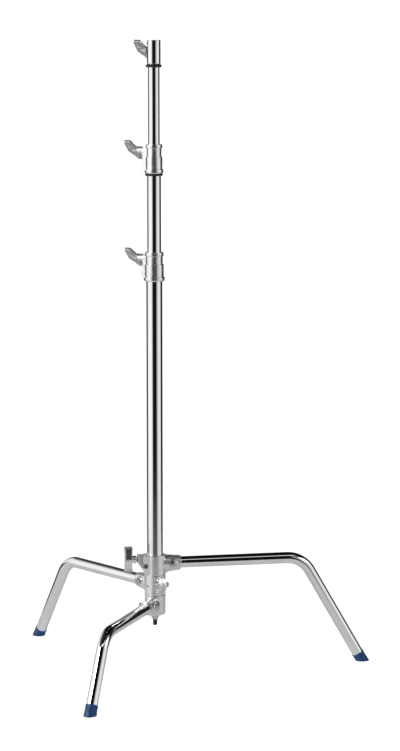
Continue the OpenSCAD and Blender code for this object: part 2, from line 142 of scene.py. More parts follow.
def rounded(loop, radius, steps=3):
    """Closed loop of 2-D points with its corners rounded. A point may carry its own radius."""
    out = []
    count = len(loop)
    for i in range(count):
        p = Vector(loop[i][:2])
        r = loop[i][2] if len(loop[i]) > 2 else radius
        a, b = Vector(loop[i - 1][:2]) - p, Vector(loop[(i + 1) % count][:2]) - p
        cut = min(r, 0.45 * a.length, 0.45 * b.length)
        if cut < 0.01 or p.x < 1e-6:
            out.append(tuple(p))
            continue
        start, end = p + a.normalized() * cut, p + b.normalized() * cut
        for s in range(steps + 1):
            t = s / steps
            q = start * (1 - t) ** 2 + p * 2 * t * (1 - t) + end * t ** 2
            out.append((q.x, q.y))
    return out


def held(loop):
    """Extra points close to the ends of long runs, so that shading stays true between them."""
    out, margin, longest = [], 0.25, 3.0
    for a, b in zip(loop, loop[1:] + loop[:1]):
        out.append(a)
        length = math.dist(a, b)
        if length > longest:
            for share in (margin / length, 1 - margin / length):
                out.append(tuple(p + (q - p) * share for p, q in zip(a, b)))
    return out


def lathe(loop, seg=96, radius=0.4, steps=3):
    """The (r, z) loop turned about Z."""
    loop = held(rounded(loop, radius, steps))
    rings, marks, v = [], [], 0.0
    for i, (r, z) in enumerate(loop):
        if i:
            v += math.dist(loop[i - 1], loop[i])
        marks.append(v)
        if r < 1e-6:
            rings.append([(0, 0, z)])
        else:
            rings.append([(r * math.cos(TAU * k / seg), r * math.sin(TAU * k / seg), z)
                          for k in range(seg)])
    return skin(rings, seg, TAU * max(r for r, z in loop), True, marks)


def rod(radius, z0, z1, seg=64, edge=0.4, top=None):
    """Round bar along Z. top is its radius at z1, where it tapers."""
    top = radius if top is None else top
    return lathe([(0, z0), (radius, z0), (top, z1), (0, z1)], seg, edge)


def prism(outline, thickness):
    """The (x, z) outline made thick along Y."""
    n = len(outline)
    points = [(x, s * thickness / 2, z) for s in (-1, 1) for x, z in outline]
    faces = [list(range(n))[::-1], list(range(n, 2 * n))]
    faces += [[i, (i + 1) % n, n + (i + 1) % n, n + i] for i in range(n)]
    return points, faces, None


def block(x0, x1, y0, y1, z0, z1):
    points, faces, _ = prism([(x0, z0), (x1, z0), (x1, z1), (x0, z1)], y1 - y0)
    return [(x, y + (y0 + y1) / 2, z) for x, y, z in points], faces, None


def hexagon(flats, z0, z1, chamfer=True):
    """Hexagon head, flats wide, with its corners turned off at the top end."""
    flat, rings, seg = flats / 2, [], 72
    inside = flat * 0.94  # where the flat top begins
    for z, limit in ((z0, None), (z1, None), (z1, inside)):
        ring = []
        for k in range(seg):
            a = TAU * k / seg
            r = flat / math.cos((a + math.pi / 6) % (math.pi / 3) - math.pi / 6)
            if limit:
                r = min(r, limit)
                top = z
            else:
                top = z - (max(0.0, r - inside) * 0.55 if z == z1 and chamfer else 0)
            ring.append((r * math.cos(a), r * math.sin(a), top))
        rings.append(ring)
    return skin([[(0, 0, z0)]] + rings + [[(0, 0, z1)]], seg, TAU * flat)


def loft(rings):
    """Shell through four-sided rings, closed at both ends."""
    points, faces, _ = skin(rings, 4, 1.0, False)
    last = len(points) - 4
    return points, faces + [[3, 2, 1, 0], [last, last + 1, last + 2, last + 3]], None


def thread(radius, z0, z1, pitch=1.25, seg=48):
    """Threaded rod with a tapered last turn at both ends."""
    depth = 0.5 * pitch
    steps = max(2, int((z1 - z0) / pitch * 8))
    rings = [[(0, 0, z0)]]
    for i in range(steps + 1):
        z = z0 + (z1 - z0) * i / steps
        taper = min(1.0, min(z - z0, z1 - z) / (0.8 * pitch) + 0.2)
        ring = []
        for k in range(seg):
            phase = (z / pitch - k / seg) % 1.0
            cut = depth * abs(2 * phase - 1)
            r = radius - max(cut, depth * (1 - taper))
            ring.append((r * math.cos(TAU * k / seg), r * math.sin(TAU * k / seg), z))
        rings.append(ring)
    rings.append([(0, 0, z1)])
    return skin(rings, seg, TAU * radius)


def moved(shell, matrix):
    points, faces, uvs = shell
    return [tuple(matrix @ Vector(p)) for p in points], faces, uvs


def across(shell, x, z):
    """Turns a shell's Z axis along -Y, at (x, z) in the leg's own plane."""
    return moved(shell, shift(x, 0, z) @ Z_TO_MINUS_Y)


# ---- objects ---------------------------------------------------------------------------

def build(name, shells, matrix=None):
    """Mesh object in the row frame from shells in millimetres."""
    points, faces, uvs = [], [], []
    for pts, fcs, uv in shells:
        start = len(points)
        points += [((matrix @ Vector(p)) if matrix else Vector(p)) * MM for p in pts]
        faces += [[start + i for i in f] for f in fcs]
        uvs += uv if uv else [[(0.0, 0.0)] * len(f) for f in fcs]
    mesh = bpy.data.meshes.new(name)
    mesh.from_pydata(points, [], faces)
    layer = mesh.uv_layers.new(name="metres")
    flat = [c for face in uvs for pair in face for c in pair]
    layer.data.foreach_set("uv", flat)
    work = bmesh.new()
    work.from_mesh(mesh)
    bmesh.ops.recalc_face_normals(work, faces=work.faces)
    work.to_mesh(mesh)
    work.free()
    obj = bpy.data.objects.new(name, mesh)
    bpy.context.scene.collection.objects.link(obj)
    return obj


def apply_modifiers(obj):
    graph = bpy.context.evaluated_depsgraph_get()
    mesh = bpy.data.meshes.new_from_object(obj.evaluated_get(graph))
    old = obj.data
    obj.modifiers.clear()
    obj.data = mesh
    bpy.data.meshes.remove(old)
    return obj


def melt(obj, voxel, rounds):
    """Flows overlapping shells into one cast skin with soft fillets."""
    remesh = obj.modifiers.new("voxels", "REMESH")
    remesh.mode = "VOXEL"
    remesh.voxel_size = voxel * MM
    smooth = obj.modifiers.new("smooth", "SMOOTH")
    smooth.factor = 0.5
    smooth.iterations = rounds
    return apply_modifiers(obj)


def carve(obj, shells, operation="DIFFERENCE"):
    for shell in shells:
        cutter = build("cutter", [shell])
        cut = obj.modifiers.new("cut", "BOOLEAN")
        cut.operation = operation
        cut.solver = "MANIFOLD"
        cut.object = cutter
        apply_modifiers(obj)
        mesh = cutter.data
        bpy.data.objects.remove(cutter)
        bpy.data.meshes.remove(mesh)
    return obj


def parting_line(obj, z, beyond):
    """A fine raised seam at one height, on the casting's walls beyond a radius."""
    half, rise = 0.55, 0.3
    for v in obj.data.vertices:
        p = v.co / MM
        n = v.normal
        if abs(p.z - z) < half and abs(n.z) < 0.6 and math.hypot(p.x, p.y) > beyond:
            v.co += Vector((n.x, n.y, 0)) * rise * MM


def finish(obj, body, material, nodes=(), sharp=34.0):
    """Shades a piece, and ties it to its body and to the CAD nodes that it replaces."""
    for polygon in obj.data.polygons:
        polygon.use_smooth = True
    obj.data.set_sharp_from_angle(angle=math.radians(sharp))
    obj.data.materials.clear()
    obj.data.materials.append(MATERIALS[material])
    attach(obj, body)
    if nodes:
        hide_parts(*nodes)
    return obj


# ---- materials -------------------------------------------------------------------------

NOISE_LOW, NOISE_HIGH = 0.3, 0.7  # most of a noise texture's values


def surface(name, colour, metallic, rough, mottle, mottle_scale, grain, brushed=None, worn=0.0,
            spots=None):
    """Procedural finish: mottled colour and roughness, fine grain, brushed lines, worn edges.

    rough is (lowest, highest). mottle is a share of the colour. grain is (scale, height in
    metres). brushed is (scale, stretch, added roughness, height). spots is (scale, colour).
    """
    mat = bpy.data.materials.new(name)
    mat.use_nodes = True
    tree = mat.node_tree
    nodes, link = tree.nodes, tree.links.new
    shader = nodes["Principled BSDF"]
    shader.inputs["Metallic"].default_value = metallic
    shader.inputs["IOR"].default_value = 1.5
    place = nodes.new("ShaderNodeTexCoord")

    def noise(scale, detail, stretch=None):
        tex = nodes.new("ShaderNodeTexNoise")
        tex.inputs["Scale"].default_value = scale
        tex.inputs["Detail"].default_value = detail
        source = place.outputs["Object"]
        if stretch:
            turn = nodes.new("ShaderNodeMapping")
            turn.inputs["Scale"].default_value = stretch
            link(source, turn.inputs["Vector"])
            source = turn.outputs["Vector"]
        link(source, tex.inputs["Vector"])
        return tex.outputs["Fac"]

    def remap(source, low_in, high_in, low_out, high_out):
        node = nodes.new("ShaderNodeMapRange")
        node.inputs["From Min"].default_value = low_in
        node.inputs["From Max"].default_value = high_in
        node.inputs["To Min"].default_value = low_out
        node.inputs["To Max"].default_value = high_out
        link(source, node.inputs["Value"])
        return node.outputs["Result"]

    def mix(factor, a, b):
        node = nodes.new("ShaderNodeMix")
        node.data_type = "RGBA"
        link(factor, node.inputs["Factor"])
        for value, socket in ((a, node.inputs["A"]), (b, node.inputs["B"])):
            if isinstance(value, tuple):
                socket.default_value = (*value, 1)
            else:
                link(value, socket)
        return node.outputs["Result"]

    def add(a, b):
        node = nodes.new("ShaderNodeMath")
        node.operation = "ADD"
        link(a, node.inputs[0])
        link(b, node.inputs[1])
        return node.outputs["Value"]

    cloud = noise(mottle_scale, 4.0)
    dark = tuple(c * (1 - mottle) for c in colour)
    light = tuple(min(1.0, c * (1 + mottle)) for c in colour)
    base = mix(remap(cloud, NOISE_LOW, NOISE_HIGH, 0, 1), dark, light)
    roughness = remap(noise(mottle_scale * 0.6, 6.0), NOISE_LOW, NOISE_HIGH, rough[0], rough[1])
    height = noise(grain[0], 3.0)
    if spots:
        specks = remap(noise(spots[0], 2.0), 0.62, 0.7, 0, 1)
        base = mix(specks, base, spots[1])
    if brushed:
        lines = noise(brushed[0], 3.0, brushed[1])
        roughness = add(roughness, remap(lines, 0.35, 0.7, 0, brushed[2]))
        scratch = nodes.new("ShaderNodeBump")
        scratch.inputs["Strength"].default_value = 0.5
        scratch.inputs["Distance"].default_value = brushed[3]
        link(lines, scratch.inputs["Height"])
    if worn:
        edge = nodes.new("ShaderNodeNewGeometry").outputs["Pointiness"]
        rub = remap(edge, 0.52, 0.6, 0, worn)
        bright = tuple(min(1.0, c * 1.25 + 0.03) for c in colour)
        base = mix(rub, base, bright)
    bump = nodes.new("ShaderNodeBump")
    bump.inputs["Strength"].default_value = 0.6
    bump.inputs["Distance"].default_value = grain[1]
    link(height, bump.inputs["Height"])
    if brushed:
        link(scratch.outputs["Normal"], bump.inputs["Normal"])
    link(base, shader.inputs["Base Color"])
    link(roughness, shader.inputs["Roughness"])
    link(bump.outputs["Normal"], shader.inputs["Normal"])
    return mat


ROUND_LINES = (1, 1, 14)  # stretch of brushed lines that run round the Z axis
LONG_LINES = (1, 1, 0.02)  # and of lines that run along it
FINISHES = {
    "chromed_tube": dict(colour=(0.93, 0.935, 0.94), metallic=1.0, rough=(0.02, 0.06),
                         mottle=0.015, mottle_scale=60, grain=(1500, 4e-7),
                         brushed=(2200, LONG_LINES, 0.04, 4e-7)),
    "chromed_collar": dict(colour=(0.88, 0.885, 0.89), metallic=0.93, rough=(0.15, 0.24),
                           mottle=0.03, mottle_scale=150, grain=(1500, 4e-6),
                           brushed=(500, ROUND_LINES, 0.06, 4e-6)),
    "cast_hub": dict(colour=(0.84, 0.84, 0.84), metallic=0.76, rough=(0.2, 0.3),
                     mottle=0.04, mottle_scale=140, grain=(1100, 2e-5), worn=0.4),
    "cast_knob": dict(colour=(0.56, 0.56, 0.555), metallic=0.8, rough=(0.24, 0.36),
                      mottle=0.12, mottle_scale=190, grain=(1000, 4e-5), worn=0.5),
    "cast_handle": dict(colour=(0.86, 0.86, 0.86), metallic=0.86, rough=(0.19, 0.28),
                        mottle=0.04, mottle_scale=160, grain=(1100, 3e-5), worn=0.5),
    "plated_steel": dict(colour=(0.62, 0.62, 0.61), metallic=1.0, rough=(0.22, 0.36),
                         mottle=0.06, mottle_scale=300, grain=(1600, 3e-5)),
    "screw_steel": dict(colour=(0.36, 0.36, 0.36), metallic=1.0, rough=(0.25, 0.42),
                        mottle=0.12, mottle_scale=300, grain=(1600, 3e-5)),
    "black_steel": dict(colour=(0.045, 0.045, 0.047), metallic=0.7, rough=(0.3, 0.45),
                        mottle=0.2, mottle_scale=260, grain=(1500, 3e-5)),
    "brass": dict(colour=(0.72, 0.50, 0.22), metallic=1.0, rough=(0.25, 0.4),
                  mottle=0.08, mottle_scale=260, grain=(1500, 2e-5)),
    "blue_pad": dict(colour=(0.004, 0.062, 0.21), metallic=0.0, rough=(0.34, 0.5),
                     mottle=0.14, mottle_scale=150, grain=(700, 8e-5),
                     spots=(420, (0.03, 0.09, 0.2))),
    "black_rubber": dict(colour=(0.012, 0.012, 0.012), metallic=0.0, rough=(0.42, 0.6),
                         mottle=0.25, mottle_scale=200, grain=(900, 6e-5)),
    "black_plastic": dict(colour=(0.02, 0.02, 0.021), metallic=0.0, rough=(0.3, 0.42),
                          mottle=0.15, mottle_scale=200, grain=(1200, 3e-5)),
    "white_plastic": dict(colour=(0.72, 0.72, 0.69), metallic=0.0, rough=(0.3, 0.42),
                          mottle=0.04, mottle_scale=200, grain=(1200, 2e-5)),
    "black_grip": dict(colour=(0.085, 0.085, 0.087), metallic=0.0, rough=(0.45, 0.65),
                       mottle=0.25, mottle_scale=300, grain=(1500, 5e-5)),
}
MATERIALS = {name: surface(name, **values) for name, values in FINISHES.items()}
for row in frame["record"]["materials"]:
    assert row["slot"] in MATERIALS, row["slot"]


# ---- tubes -----------------------------------------------------------------------------

def leg_path(z, corner):
    """Centre line of a leg in its own plane: (x, z, direction)."""
    turn = math.pi / 2 - LEAN
    bend_x = corner - BEND_R * math.tan(turn / 2)
    path = [(LEG_ROOT, z, 0.0), (LEG_ROOT + 3, z, 0.0)]
    straight = 10
    for i in range(1, straight + 1):
        path.append((LEG_ROOT + 3 + (bend_x - LEG_ROOT - 3) * i / straight, z, 0.0))
    steps = 40
    for i in range(1, steps + 1):
        a = turn * i / steps
        path.append((bend_x + BEND_R * math.sin(a), z - BEND_R + BEND_R * math.cos(a), a))
    x, y, a = path[-1]
    length = (y - LEG_END_Z) / math.cos(LEAN)
    path += [(x + length * f * math.cos(a), y - length * f * math.sin(a), a) for f in
             (0.15, 0.3, 0.45, 0.6, 0.75, 0.9, 0.98, 1.0)]
    return path


def leg_tube(path):
    """Bent tube along a leg's path, open at both ends."""
    seg = 128

    def ring(x, z, a, r):
        side, up = Vector((0, 1, 0)), Vector((math.sin(a), 0, math.cos(a)))
        centre, turns = Vector((x, 0, z)), [TAU * k / seg for k in range(seg)]
        return [tuple(centre + side * r * math.cos(t) + up * r * math.sin(t)) for t in turns]

    outer, inner, chamfer = LEG_D / 2, LEG_D / 2 - WALL, 0.3
    rings = [ring(*path[0], outer - chamfer)] + [ring(*p, outer) for p in path[1:-1]]
    rings += [ring(*path[-1], outer - chamfer)] + [ring(*p, inner) for p in path[::-1]]
    marks, v = [], 0.0
    for i in range(len(rings)):
        if i:
            v += (Vector(rings[i][0]) - Vector(rings[i - 1][0])).length
        marks.append(v)
    return skin(rings, seg, TAU * outer, True, marks)


def vertical_tube(name, node, body, diameter, wall):
    outer, inner, z0, z1 = diameter / 2, diameter / 2 - wall, low(node), high(node)
    section = [(outer, z0), (outer, z1), (inner, z1), (inner, z0)]
    finish(build(name, [lathe(section, 128, 0.3)]), body, "chromed_tube", [node])


vertical_tube("column_tube_skin", "column_tube", "column", COLUMN_D, WALL)
vertical_tube("lower_riser_skin", "lower_riser", "lower_riser", LOWER_RISER_D, LOWER_RISER_WALL)
vertical_tube("upper_riser_skin", "upper_riser", "upper_riser", UPPER_RISER_D, WALL)


# ---- legs: tube, bolt, nut and foot -----------------------------------------------------

LEGS = (  # name, body, casting that holds it, the way its bolt's head points
    ("front", "column", "base_casting", Z_TO_Y),
    ("left", "turning_leg", "turning_casting", Z_TO_MINUS_Y),
    ("right", "sliding_leg", "sliding_casting", Z_TO_MINUS_Y),
)
LEG_PLAN = {}  # azimuth and height of each leg's root


def foot_pad(name, body, corner_x, azimuth, node):
    """Moulded sleeve with a bead round its rim and fine grip rings, cut level at the floor."""
    r, bore = LEG_D / 2 + 1.25, LEG_D / 2 + FIT
    rim = 19.0  # height of the rim's middle
    length, tube_end = rim / math.cos(LEAN) + r, 8.2
    loop = [(bore, 0, 0.1), (r - 0.5, 0, 0.4), (r, 0.9, 0.6), (r, 2.6, 0.5), (r - 0.45, 3.3, 0.4)]
    first_ring, ring_step, ring_count = 5.2, 2.6, 4
    for i in range(ring_count):
        z = first_ring + i * ring_step
        loop += [(r - 0.45, z, 0.3), (r - 0.85, z + 0.5, 0.3), (r - 0.85, z + 0.9, 0.3),
                 (r - 0.45, z + 1.4, 0.3)]
    loop += [(r - 0.45, 16, 0.4), (r, 17.5, 0.6), (r, length, 0.1), (0, length), (0, tube_end),
             (bore, tube_end, 0.1)]
    tilt = (shift(corner_x - rim * math.tan(LEAN), 0, rim) @
            Matrix.Rotation(math.pi - LEAN, 4, "Y"))
    pad = build(name, [moved(lathe(loop, 96), tilt)], turned(azimuth))
    work = bmesh.new()
    work.from_mesh(pad.data)
    whole = work.verts[:] + work.edges[:] + work.faces[:]
    cut = bmesh.ops.bisect_plane(work, geom=whole, dist=1e-7, plane_co=(0, 0, 0),
                                 plane_no=(0, 0, -1), clear_outer=True)
    edges = [e for e in cut["geom_cut"] if isinstance(e, bmesh.types.BMEdge)]
    bmesh.ops.holes_fill(work, edges=edges, sides=0)
    bmesh.ops.recalc_face_normals(work, faces=work.faces)
    work.to_mesh(pad.data)
    work.free()
    return finish(pad, body, "blue_pad", [node], 50)


for side, body, socket, bolt_way in LEGS:
    foot = MOUNTS[side + "_foot_rest"]
    azimuth = math.atan2(foot.y, foot.x)
    z = low(socket) + BELOW_LEG
    corner = math.hypot(foot.x, foot.y) - z * math.tan(LEAN)
    LEG_PLAN[side] = (azimuth, z)
    leg = build(side + "_leg_skin", [leg_tube(leg_path(z, corner))], turned(azimuth))
    carve(leg, [moved(across(rod(BOLT_HOLE_R, -20, 20), BOLT_AT, z), turned(azimuth))])
    finish(leg, body, "chromed_tube", [side + "_leg"])
    foot_pad(side + "_foot_skin", body, corner + z * math.tan(LEAN), azimuth, side + "_foot")
    seat = BOSS_FACE + FIT
    spin = turned(azimuth) @ shift(BOLT_AT, 0, z) @ bolt_way
    bolt = [rod(4, -14.5, seat), rod(7.2, seat, seat + 0.6, 72, 0.2),
            hexagon(BOLT_FLATS, seat + 0.6, seat + 5.3), thread(3.98, -24, -14)]
    finish(build(side + "_bolt_skin", bolt, spin), body, "plated_steel", [side + "_bolt"])
    nut = moved(hexagon(BOLT_FLATS, seat, seat + 5.5), UPSIDE_DOWN)
    nut_skin = build(side + "_nut_skin", [nut], spin)
    carve(nut_skin, [moved(rod(4.06, -30, 0), spin)])
    finish(nut_skin, body, "plated_steel", [side + "_nut"])


# ---- castings of the hub ----------------------------------------------------------------

def hub_ring(z0, z1, foot_round=1.0):
    return lathe([(0, z0), (HUB_R, z0, foot_round), (HUB_R, z1, 0.8), (0, z1)], 96, 0.5, 6)


def leg_socket(z):
    """Tapered sleeve with a lip at its mouth, bolt bosses, a web below and a rib on top."""
    sleeve = lathe([(0, HUB_R - 6), (17.6, HUB_R - 6), (14.9, SOCKET_MOUTH - 3),
                    (15.3, SOCKET_MOUTH - 2), (15.3, SOCKET_MOUTH), (0, SOCKET_MOUTH)], 96, 0.6)
    web = [(0, z - BELOW_LEG), (HUB_R - 2, z - BELOW_LEG), (HUB_R + 1.8, z - BELOW_LEG + 3.5),
           (HUB_R + 5, z - BELOW_LEG + 5.5), (SOCKET_MOUTH - 1, z - 15.8),
           (SOCKET_MOUTH - 1, z), (0, z)]
    rib = [(HUB_R - 4, z), (SOCKET_MOUTH - 2, z), (SOCKET_MOUTH - 2, z + 14.9),
           (SOCKET_MOUTH - 6, z + 15.6), (HUB_R + 4, z + 17.8), (HUB_R - 4, z + 18.6)]
    return [
        moved(sleeve, shift(0, 0, z) @ Z_TO_X),
        prism(web, 13),
        prism(rib, 9),
        across(rod(9.4, -LEG_D / 2 - 4.4, LEG_D / 2 + 4.4), BOLT_AT, z),
    ]


def spot_face(radius, face, depth, side, x, z):
    """Cutter that levels the seat of a screw, outwards from its face."""
    middle = side * (face + depth)
    return across(rod(radius, middle - depth, middle + depth, 64, 0), x, z)


def socket_cuts(z):
    """The leg's bore, the bolt's hole and the two seats on the bosses."""
    bore = rod(LEG_D / 2 + FIT, LEG_ROOT - 0.5, SOCKET_MOUTH + 20, 96, 0)
    hole = across(rod(BOLT_HOLE_R, -30, 30, 48, 0), BOLT_AT, z)
    seats = [spot_face(8.6, BOSS_FACE, 4, s, BOLT_AT, z) for s in (-1, 1)]
    return [moved(bore, shift(0, 0, z) @ Z_TO_X), hole] + seats


def trim(z0, z1):
    """Turned faces of a casting: flat round the bore, bevelled at the rim, lower beyond it."""
    rim, step = HUB_R + 0.2, 1.1
    return lathe([(0, z0), (rim - step, z0, 0.2), (rim, z0 + step, 0.2), (90, z0 + step),
                  (90, z1 - step), (rim, z1 - step, 0.2), (rim - step, z1, 0.2), (0, z1)], 128)


def casting(name, shells, cuts, z0, z1, azimuth, body, node, seam):
    """One of the hub's castings, made with its leg along +X and then turned to its azimuth."""
    obj = build(name, shells)
    melt(obj, 0.9, 8)
    parting_line(obj, seam, HUB_R + 2)
    carve(obj, [trim(z0, z1)], "INTERSECT")
    carve(obj, cuts)
    obj.data.transform(turned(azimuth))
    return finish(obj, body, "cast_hub", [node], 40)


azimuth, z = LEG_PLAN["front"]
z0, z1 = low("base_casting"), high("base_casting")
base_cuts = [rod(COLUMN_D / 2 + FIT, z0 + 10, z1 + 20, 128, 0), rod(5.2, z0 - 2, z0 + 20, 64, 0)]
casting("base_casting_skin", [hub_ring(z0 - 0.3, z1 + 1, 6.0)] + leg_socket(z),
        base_cuts + socket_cuts(z), z0, z1, azimuth, "column", "base_casting", z)

azimuth, z = LEG_PLAN["left"]
z0, z1 = low("turning_casting"), high("turning_casting")
EAR_W, SLIT = 10.5, 1.6  # width of each ear and of the slit between them
CLAMP_X = 24.5  # radius of the bolt across the ears
DETENT_AZ = math.radians(226.5)
mid = z - 2  # height of that bolt
ears = prism([(0, mid - 20), (19, mid - 20), (24, mid - 14), (27.8, mid - 6), (28.7, mid),
              (27.8, mid + 6), (24, mid + 14), (19, mid + 19), (0, mid + 19)],
             2 * EAR_W + SLIT + 0.6)
head_face = EAR_W + SLIT / 2


def crescent():
    """Cast hollow that curls over the clamp screw's head."""
    seg, r0, r1, depth = 40, 7.0, 10.4, 1.6
    rings = []
    for i in range(seg + 1):
        a = math.radians(15 + 150 * i / seg)
        grow = math.sin(math.pi * i / seg) ** 0.5 * 0.5 + 0.02
        centre, half = (r0 + r1) / 2, (r1 - r0) * grow
        ring = []
        for dr, y in ((-half, depth), (half, depth), (half, -depth), (-half, -depth)):
            r = centre + dr
            ring.append((-CLAMP_X + 2 + r * math.cos(a), head_face + y, mid + r * math.sin(a)))
        rings.append(ring)
    return loft(rings)


detent_place = outward(DETENT_AZ, 0, z - 4)
turning_cuts = [spot_face(6.3, head_face, 5, s, -CLAMP_X, mid) for s in (-1, 1)]
turning_cuts += [crescent(), rod(COLUMN_D / 2 + 0.07, z - 40, z + 40, 128, 0),
                 block(-60, 0, -SLIT / 2, SLIT / 2, z - 40, z + 40),
                 across(rod(3.1, -40, 40, 48, 0), -CLAMP_X, mid),
                 moved(moved(rod(2.55, 10, 40, 48, 0), detent_place), turned(-azimuth))]
casting("turning_casting_skin",
        [hub_ring(z0 - 1, z1 + 1)] + leg_socket(z) + [moved(ears, HALF_TURN)],
        turning_cuts + socket_cuts(z), z0, z1, azimuth, "turning_leg", "turning_casting", z)

azimuth, z = LEG_PLAN["right"]
z0, z1 = low("sliding_casting"), high("sliding_casting")
T_Z = (low("t_screw") + high("t_screw")) / 2
T_BOSS_END, T_SCREW_R = 38.5, 6.0
LINER_SCREW_X, LINER_SCREW_Z = 23.0, z - 4
boss = loft([[(x, -w, a), (x, w, a), (x, w, b), (x, -w, b)] for x, w, a, b in (
    (0, 19.9, z0 + 2, z1 + 1), (11, 19.9, z0 + 2, z1 + 1), (HUB_R - 1, 15.0, z0 + 2, z1 + 1),
    (28.5, 12.2, z0 + 11.5, z1 + 0.8), (T_BOSS_END - 1, 12.2, T_Z - 9.5, z1 + 0.4),
    (T_BOSS_END, 11.2, T_Z - 8, z1 - 1.5))])
liner_place = HALF_TURN @ shift(LINER_SCREW_X, 0, LINER_SCREW_Z) @ Z_TO_Y
sliding_cuts = [rod(COLUMN_D / 2 + 0.5, z0 - 5, z1 + 5, 128, 0),
                rod(LINER_R + FIT, z0 + 2, z1 - 2, 128, 0),
                moved(rod(T_SCREW_R + FIT, 10, 60, 64, 0), HALF_TURN @ shift(0, 0, T_Z) @ Z_TO_X),
                moved(rod(3.05, 4, 14, 48, 0), liner_place),
                moved(rod(5.5, 12, 22, 64, 0), liner_place)]
casting("sliding_casting_skin",
        [hub_ring(z0 - 1, z1 + 1)] + leg_socket(z) + [moved(boss, HALF_TURN)],
        sliding_cuts + socket_cuts(z), z0, z1, azimuth, "sliding_leg", "sliding_casting", z)


# ---- fastenings of the hub --------------------------------------------------------------

azimuth, z = LEG_PLAN["left"]
clamp = turned(azimuth + math.pi) @ shift(CLAMP_X, 0, mid) @ Z_TO_MINUS_Y
screw_head = lathe([(0, head_face + FIT), (5, head_face + FIT), (5, head_face + 4),
                    (0, head_face + 4)], 72, 0.5)
screw = build("clamp_bolt_skin", [screw_head, rod(2.95, -9.5, head_face + 1),
                                  thread(2.98, -head_face - 7, -9, 1.0)], clamp)
carve(screw, [moved(hexagon(5, head_face + 1.5, head_face + 8, False), clamp)])
finish(screw, "turning_leg", "plated_steel", ["clamp_bolt"])
nut = build("clamp_nut_skin",
            [moved(hexagon(10, head_face + FIT, head_face + FIT + 5), UPSIDE_DOWN)], clamp)
carve(nut, [moved(rod(3.05, -40, 0, 48, 0), clamp)])
finish(nut, "turning_leg", "plated_steel", ["clamp_nut"])

detent = build("detent_screw_skin", [rod(2.5, COLUMN_D / 2 + 0.6, COLUMN_D / 2 + 4.8, 48, 0.3)],
               detent_place)
carve(detent, [moved(hexagon(2.5, COLUMN_D / 2 + 3, COLUMN_D / 2 + 9, False), detent_place)])
finish(detent, "turning_leg", "screw_steel", ["detent_screw"])

azimuth, z = LEG_PLAN["right"]
side_screw = turned(azimuth + math.pi) @ shift(LINER_SCREW_X, 12, LINER_SCREW_Z) @ Z_TO_Y
cap_head = lathe([(0, FIT), (5, FIT), (5, 3.55), (0, 3.55)], 72, 0.5)
cap = build("liner_screw_skin", [rod(3, -7, 1, 48), cap_head], side_screw)
carve(cap, [moved(hexagon(5, 1.2, 8, False), side_screw)])
finish(cap, "sliding_leg", "screw_steel", ["liner_screw"])

stud = [thread(4.98, low("centre_stud"), low("base_casting") + 3, 1.5),
        rod(4.95, low("base_casting") + 2, high("centre_stud"))]
finish(build("centre_stud_skin", stud), "column", "black_steel", ["centre_stud"])
STUD_HOLE_R = 5.05
z = low("base_washer")
washer = [(STUD_HOLE_R, z), (10, z), (10, z + 1.5), (STUD_HOLE_R, z + 1.5)]
finish(build("base_washer_skin", [lathe(washer, 72, 0.3)]),
       "column", "plated_steel", ["base_washer"])
z = high("cone_nut")
cone = [(STUD_HOLE_R, z), (9.7, z), (9.7, z - 1.6), (6.0, z - 9.5), (STUD_HOLE_R, z - 9.5)]
finish(build("cone_nut_skin", [lathe(cone, 72, 0.4)]), "column", "plated_steel", ["cone_nut"])


# ---- T-handle ---------------------------------------------------------------------------

# The bar starts at radius BAR_A. It is BAR_W deep, BAR_T thick and reaches BAR_H up and down.
BAR_A, BAR_W, BAR_T, BAR_H, NECK_A = 50.0, 18.0, 15.0, 57.5 / 2, T_BOSS_END + 3
GRIP_MID, GRIP_Z = BAR_A + BAR_W / 2, 13.5  # middle of each inlay
bar_z = (low("t_handle") + high("t_handle")) / 2
handle_place = turned(azimuth + math.pi) @ shift(0, 0, bar_z)
outline = rounded([(0.4, -BAR_H + 1.2), (1.2, -BAR_H), (BAR_W - 1.2, -BAR_H), (BAR_W, -BAR_H + 1.2),
                   (BAR_W - 1.4, -6, 5), (BAR_W - 1.4, 6, 5), (BAR_W, BAR_H - 1.2),
                   (BAR_W - 1.2, BAR_H), (1.2, BAR_H), (0.4, BAR_H - 1.2), (2.0, 6, 5),
                   (2.0, -6, 5)], 1.0, 4)
neck = moved(lathe([(0, NECK_A), (7.6, NECK_A), (8.5, NECK_A + 2.5), (8.5, BAR_A + 4),
                    (0, BAR_A + 4)], 64, 0.6), Z_TO_X)
handle = build("t_handle_skin", [moved(prism(outline, BAR_T), shift(BAR_A, 0, 0)), neck])
melt(handle, 0.55, 4)
carve(handle, [block(NECK_A, BAR_A + BAR_W, -BAR_T / 2, BAR_T / 2, -BAR_H, BAR_H)], "INTERSECT")
pockets = [block(GRIP_MID - 6.2, GRIP_MID + 6.2, min(s * 6.3, s * 9), max(s * 6.3, s * 9),
                 s * GRIP_Z - 12, s * GRIP_Z + 12) for s in (-1, 1)]
# Each arm's other face is dished, by a large cylinder that reaches DISH_DEPTH into it.
DISH_R, DISH_DEPTH, DISH_Z = 121.0, 2.2, 25.0
dishes = [moved(rod(DISH_R, BAR_A - 1, BAR_A + BAR_W + 1, 360, 0),
                shift(0, s * (BAR_T / 2 - DISH_DEPTH + DISH_R), -s * DISH_Z) @ Z_TO_X)
          for s in (-1, 1)]
screw_hole = moved(rod(T_SCREW_R + FIT, T_BOSS_END, BAR_A + 8, 64, 0), Z_TO_X)
carve(handle, pockets + dishes + [screw_hole])
handle.data.transform(shift(0, 0, bar_z * MM))
handle.data.transform(turned(azimuth + math.pi))
finish(handle, "t_handle", "cast_handle", ["t_handle"], 40)


